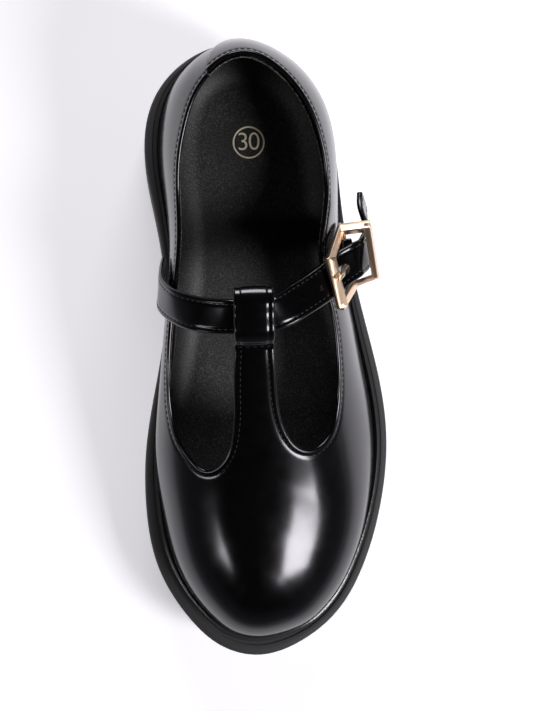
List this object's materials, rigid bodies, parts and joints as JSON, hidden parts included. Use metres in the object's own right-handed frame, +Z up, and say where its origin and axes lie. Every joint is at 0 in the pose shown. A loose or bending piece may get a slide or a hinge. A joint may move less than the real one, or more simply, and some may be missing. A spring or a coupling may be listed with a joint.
{
  "type": "t-bar strap shoe",
  "caption": "Child's left T-bar shoe: glossy black leather upper open at the collar and beside the bar, buckled cross strap, thick lugged rubber sole.",
  "frame": {"origin": "on the ground under the middle of the sole's length and width", "axes": "+X to the outer (buckle) side of the foot, -Y to the toe, +Z up"},
  "size_m": [0.087, 0.2149, 0.0843],
  "materials": {
    "sole_rubber": "matt moulded",
    "lining_leather": "fine pebbled grain",
    "patent_leather": "high-shine coated",
    "rose_brass": "polished rose gold colour"
  },
  "bodies": {
    "root": {"outsole": "sole_rubber", "insole": "lining_leather", "upper": "patent_leather", "cross_strap": "patent_leather", "t_bar_loop": "patent_leather", "buckle_tab": "patent_leather", "buckle_frame": "rose_brass", "buckle_prong": "rose_brass"}
  },
  "joints": []
}
